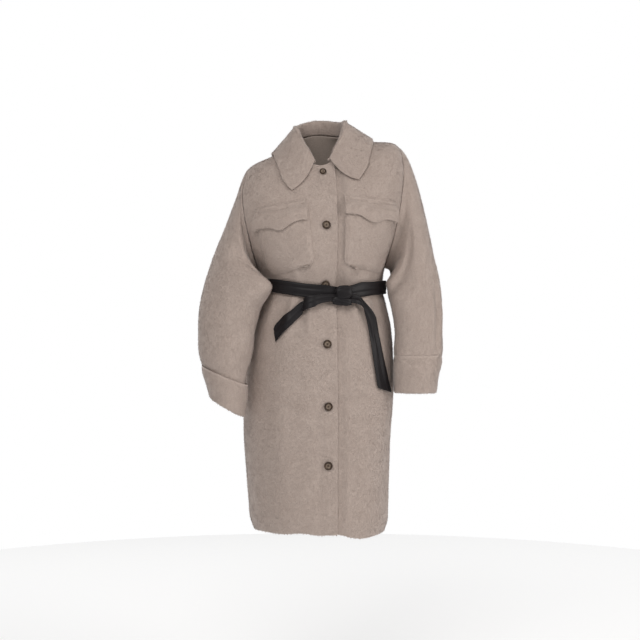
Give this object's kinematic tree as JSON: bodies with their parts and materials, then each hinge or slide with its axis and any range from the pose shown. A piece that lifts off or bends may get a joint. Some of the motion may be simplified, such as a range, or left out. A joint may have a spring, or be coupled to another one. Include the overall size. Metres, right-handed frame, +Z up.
{
  "type": "faux fur coat",
  "caption": "Knee-length shirt-style faux fur coat, hollow and closed, with collar, patch pockets, turned-back cuffs, round buttons and a tied narrow belt.",
  "frame": {"origin": "middle of the neck opening at the height of the shoulders, where the wearer carries the coat", "axes": "+Z up, front of the coat faces -Y, +X to the wearer's left"},
  "size_m": [0.6288, 0.3185, 1.08],
  "materials": {
    "fur": "short pile faux fur",
    "belt": "soft sheen",
    "horn": "satin"
  },
  "bodies": {
    "root": {"front_right": "fur", "front_left": "fur", "back": "fur", "sleeve_right": "fur", "sleeve_left": "fur", "cuff_right": "fur", "cuff_left": "fur", "collar": "fur", "pocket_right": "fur", "pocket_left": "fur", "flap_right": "fur", "flap_left": "fur", "belt_band": "belt", "belt_knot": "belt", "belt_knot_turn": "belt", "belt_tail_right": "belt", "belt_tail_left": "belt", "button_1": "horn", "button_2": "horn", "button_3": "horn", "button_4": "horn", "button_5": "horn", "button_6": "horn"}
  },
  "joints": []
}
